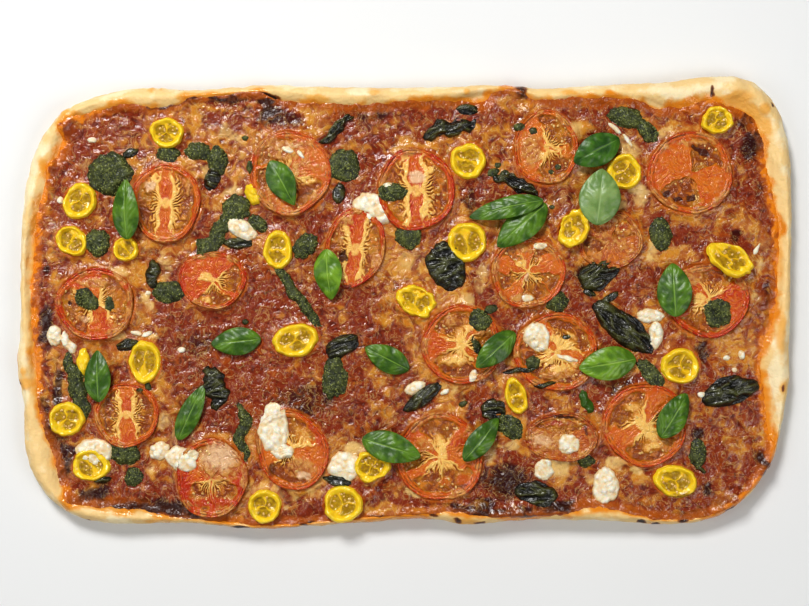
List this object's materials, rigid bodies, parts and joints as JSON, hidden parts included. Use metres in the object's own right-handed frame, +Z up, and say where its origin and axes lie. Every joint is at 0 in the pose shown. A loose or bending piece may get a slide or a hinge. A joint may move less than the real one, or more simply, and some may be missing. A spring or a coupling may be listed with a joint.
{
  "type": "margherita pizza",
  "caption": "Rectangular tray-baked thin-crust pizza with melted cheese and sauce, red and yellow tomato slices, pesto, soft cheese and fresh basil leaves.",
  "frame": {"origin": "on the underside, in the middle of the pizza's outline", "axes": "+X along the long side, to the right in the picture; +Y to the picture's top; +Z up, out of the toppings"},
  "size_m": [0.4618, 0.2706, 0.0226],
  "materials": {
    "dough": "baked pizza dough, floury and matte, with a few browned blisters",
    "melted_cheese_and_sauce": "melted cheese over tomato sauce, oily and mottled",
    "red_tomato": "baked red tomato slice, wet flesh and thin skin",
    "yellow_tomato": "baked yellow tomato slice, wet, with seeds in gel",
    "fresh_basil": "fresh basil leaf, satin with raised veins",
    "pesto": "oily green pesto with herb flecks",
    "soft_cheese": "soft white cheese, crumbly, browned in places",
    "wilted_basil": "oven-shrunken basil leaf, dark and shiny"
  },
  "bodies": {
    "root": {"crust": "dough", "melted_bed": "melted_cheese_and_sauce", "tomato_slice_01": "red_tomato", "tomato_slice_02": "red_tomato", "tomato_slice_03": "red_tomato", "tomato_slice_04": "red_tomato", "tomato_slice_05": "red_tomato", "tomato_slice_06": "red_tomato", "tomato_slice_07": "red_tomato", "tomato_slice_08": "red_tomato", "tomato_slice_09": "red_tomato", "tomato_slice_10": "red_tomato", "tomato_slice_11": "red_tomato", "tomato_slice_12": "red_tomato", "tomato_slice_13": "red_tomato", "tomato_slice_14": "red_tomato", "tomato_slice_15": "red_tomato", "tomato_slice_16": "red_tomato", "tomato_slice_17": "red_tomato", "tomato_slice_18": "red_tomato", "tomato_slice_19": "red_tomato", "yellow_tomato_01": "yellow_tomato", "yellow_tomato_02": "yellow_tomato", "yellow_tomato_03": "yellow_tomato", "yellow_tomato_04": "yellow_tomato", "yellow_tomato_05": "yellow_tomato", "yellow_tomato_06": "yellow_tomato", "yellow_tomato_07": "yellow_tomato", "yellow_tomato_08": "yellow_tomato", "yellow_tomato_09": "yellow_tomato", "yellow_tomato_10": "yellow_tomato", "yellow_tomato_11": "yellow_tomato", "yellow_tomato_12": "yellow_tomato", "yellow_tomato_13": "yellow_tomato", "yellow_tomato_14": "yellow_tomato", "yellow_tomato_15": "yellow_tomato", "yellow_tomato_16": "yellow_tomato", "yellow_tomato_17": "yellow_tomato", "yellow_tomato_18": "yellow_tomato", "yellow_tomato_19": "yellow_tomato", "yellow_tomato_20": "yellow_tomato", "yellow_tomato_21": "yellow_tomato", "yellow_tomato_22": "yellow_tomato", "basil_leaf_01": "fresh_basil", "basil_leaf_02": "fresh_basil", "basil_leaf_03": "fresh_basil", "basil_leaf_04": "fresh_basil", "basil_leaf_05": "fresh_basil", "basil_leaf_06": "fresh_basil", "basil_leaf_07": "fresh_basil", "basil_leaf_08": "fresh_basil", "basil_leaf_09": "fresh_basil", "basil_leaf_10": "fresh_basil", "basil_leaf_11": "fresh_basil", "basil_leaf_12": "fresh_basil", "basil_leaf_13": "fresh_basil", "basil_leaf_14": "fresh_basil", "basil_leaf_15": "fresh_basil", "basil_leaf_16": "fresh_basil", "basil_leaf_17": "fresh_basil"}
  },
  "joints": []
}
